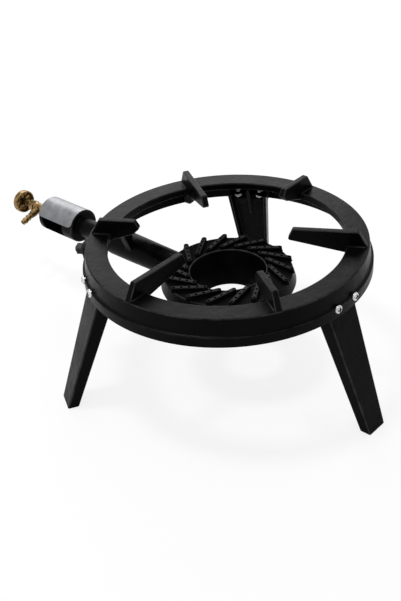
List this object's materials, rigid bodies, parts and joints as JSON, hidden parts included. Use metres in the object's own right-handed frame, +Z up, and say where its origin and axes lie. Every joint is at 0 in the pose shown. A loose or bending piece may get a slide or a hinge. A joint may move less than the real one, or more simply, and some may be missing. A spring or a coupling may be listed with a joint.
{
  "type": "gas boiling ring stove",
  "caption": "Cast iron gas boiling ring: round pot ring with prongs on channel legs, ported ring burner, mixing tube with air shutter, brass needle valve with handwheel and hose nozzle.",
  "frame": {"origin": "on the floor, on the pot ring's upright axis", "axes": "+Z up along the pot ring's axis; +X towards the leg opposite the valve; the mixing tube and the valve lie along -X, so the handwheel is the furthest point on -X"},
  "size_m": [0.7327, 0.4676, 0.2375],
  "materials": {
    "black_casting": "semi-gloss black stoving paint over a slightly rough casting",
    "zinc_steel": "bright zinc plated fasteners",
    "galvanised_sheet": "plain rolled zinc coated sheet, soft highlights",
    "brass": "turned and cast brass, slightly dulled",
    "packing": "matt black sealing rubber"
  },
  "bodies": {
    "stove": {"pot_ring": "black_casting", "leg_right": "black_casting", "leg_rear": "black_casting", "leg_front": "black_casting", "leg_bolts": "zinc_steel", "leg_washers": "zinc_steel", "leg_nuts": "zinc_steel", "burner_casting": "black_casting", "yoke_bolts": "zinc_steel", "yoke_washers": "zinc_steel", "yoke_nuts": "zinc_steel", "valve_body": "brass", "injector_jet": "brass", "hose_nozzle": "brass", "gland_nut": "brass", "spindle_packing": "packing"},
    "air_shutter": {"air_shutter": "galvanised_sheet"},
    "valve_plug": {"seat_disc": "packing"},
    "valve_spindle": {"spindle": "brass", "handwheel": "brass", "handwheel_nut": "brass"}
  },
  "joints": [
    {"name": "shutter_turn", "type": "hinge", "parent": "stove", "child": "air_shutter", "pos_m": [-0.35, 0, 0.132], "axis": [-1, 0, 0], "range_deg": [-60, 20]},
    {"name": "valve_lift", "type": "slide", "parent": "stove", "child": "valve_plug", "axis": [-1, 0, 0], "range_m": [0, 0.00313]},
    {"name": "valve_turn", "type": "hinge", "parent": "valve_plug", "child": "valve_spindle", "pos_m": [-0.44, 0, 0.132], "axis": [-1, 0, 0], "range_deg": [0, 900]}
  ],
  "couplings": [
    {"joint": "valve_lift", "follows": "valve_turn", "m_per_rad": 0.00019894}
  ]
}
